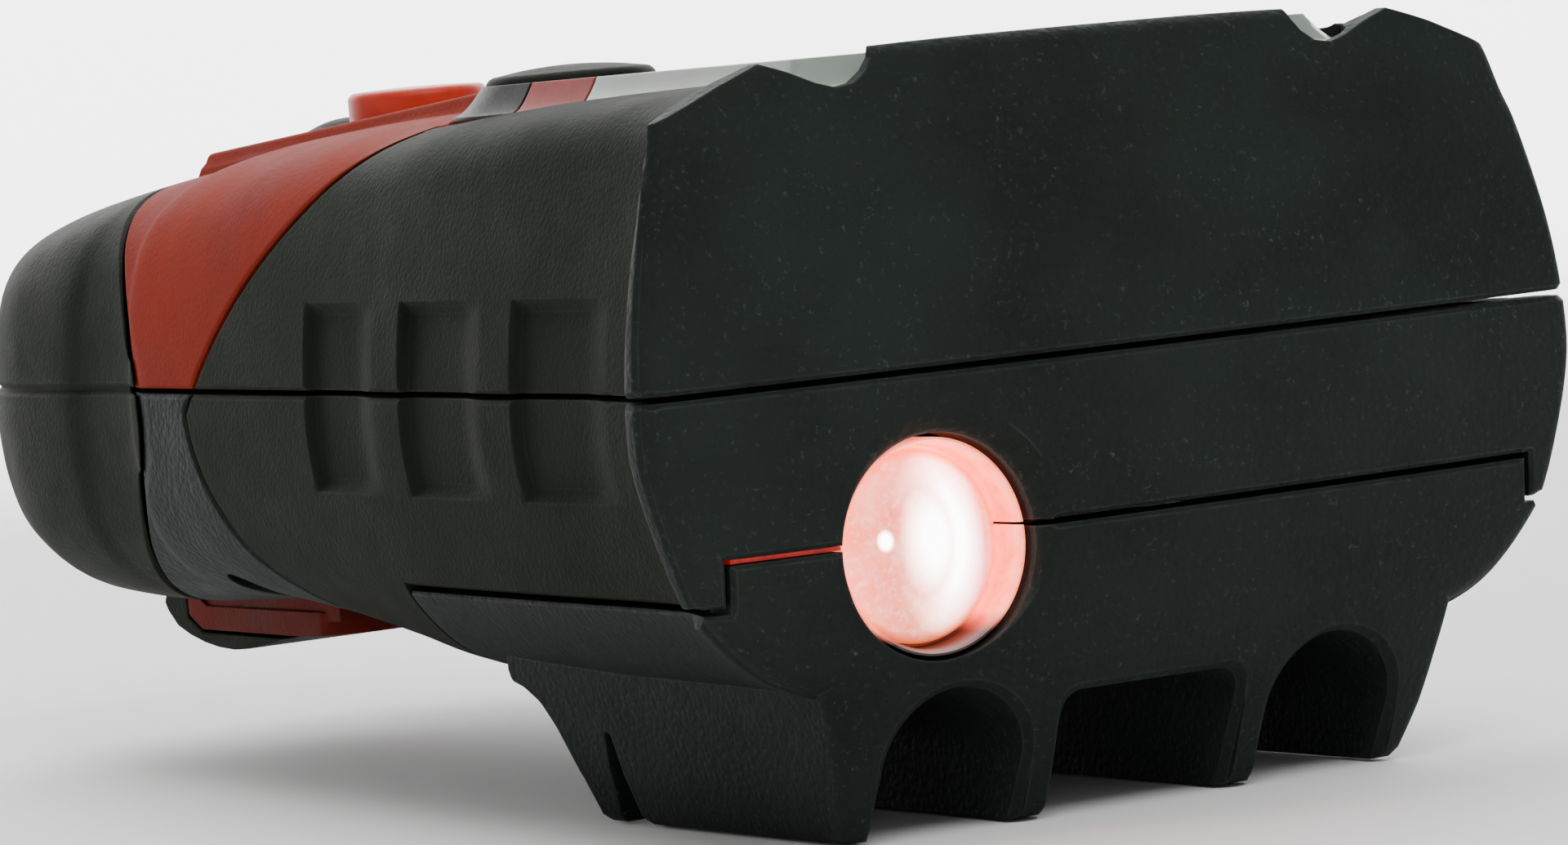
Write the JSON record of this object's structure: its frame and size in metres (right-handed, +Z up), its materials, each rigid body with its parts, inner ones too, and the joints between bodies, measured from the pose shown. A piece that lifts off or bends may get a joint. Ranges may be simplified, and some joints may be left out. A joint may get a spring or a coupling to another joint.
{
  "type": "optical speed gun",
  "caption": "Palm-held optical speed gun with a recessed red-lit lens, top display and keys, an underside trigger and a channelled docking foot.",
  "frame": {"origin": "centre of the footprint on the plane of the docking foot's sole", "axes": "+Z up, +Y from the nose to the tail, +X to the right seen from the nose (the lens is at -X)"},
  "size_m": [0.0726, 0.138, 0.0509],
  "materials": {
    "nose_plastic": "coarse spark-eroded grain, satin",
    "red_plastic": "fine matte grain",
    "grip_rubber": "fine matte grain, soft",
    "key_red": "satin silicone",
    "key_black": "satin silicone",
    "window": "clear, glossy",
    "stripe": "glossy",
    "lens_glass": "polished",
    "sleeve": "translucent, glossy",
    "board": "solder mask",
    "metal": "plated",
    "dark_part": "moulded",
    "cell": "printed sleeve",
    "led": "clear red epoxy"
  },
  "bodies": {
    "housing": {"nose_cap": "nose_plastic", "upper_housing": "red_plastic", "lower_housing": "nose_plastic", "base_cover": "nose_plastic", "left_grip_upper": "grip_rubber", "right_grip_upper": "grip_rubber", "left_grip_lower": "grip_rubber", "right_grip_lower": "grip_rubber", "rear_bumper": "grip_rubber", "display_window": "window", "display_stripe": "stripe", "display_bezel": "key_black", "display_module": "dark_part", "display_holder": "dark_part", "menu_switch": "dark_part", "measure_switch": "dark_part", "mode_switch": "dark_part", "main_board": "board", "buzzer": "dark_part", "trigger_pin": "metal", "trigger_spring": "metal", "trigger_switch": "dark_part", "trigger_board": "board", "front_lens": "lens_glass", "lens_sleeve_upper": "sleeve", "lens_sleeve_lower": "sleeve", "lens_barrel": "dark_part", "emitter": "led", "photodiode": "dark_part", "emitter_board": "board", "left_cell": "cell", "right_cell": "cell", "front_battery_contact": "metal", "rear_battery_contact": "metal", "left_housing_screw": "metal", "right_housing_screw": "metal", "left_cover_screw": "metal", "right_cover_screw": "metal"},
    "menu_key": {"menu_key": "key_black"},
    "measure_key": {"measure_key": "key_red"},
    "mode_key": {"mode_key": "key_black"},
    "trigger": {"trigger": "red_plastic", "trigger_pad": "grip_rubber"},
    "battery_door": {"battery_door": "nose_plastic"}
  },
  "joints": [
    {"name": "menu_key_press", "type": "slide", "parent": "housing", "child": "menu_key", "axis": [0, 0, -1], "range_m": [0, 0.0008], "stiffness_N_per_m": 400, "springref_m": -0.001},
    {"name": "measure_key_press", "type": "slide", "parent": "housing", "child": "measure_key", "axis": [0, 0, -1], "range_m": [0, 0.0008], "stiffness_N_per_m": 400, "springref_m": -0.001},
    {"name": "mode_key_press", "type": "slide", "parent": "housing", "child": "mode_key", "axis": [0, 0, -1], "range_m": [0, 0.0008], "stiffness_N_per_m": 400, "springref_m": -0.001},
    {"name": "trigger_pull", "type": "hinge", "parent": "housing", "child": "trigger", "pos_m": [0, 0.0525, 0.015], "axis": [-1, 0, 0], "range_deg": [0, 3.2], "stiffness_Nm_per_rad": 0.6, "springref_deg": -2.86, "deforming": ["trigger_spring"]},
    {"name": "battery_door_swing", "type": "hinge", "parent": "housing", "child": "battery_door", "pos_m": [0, -0.014, 0.011], "axis": [-1, 0, 0], "range_deg": [0, 85]}
  ]
}
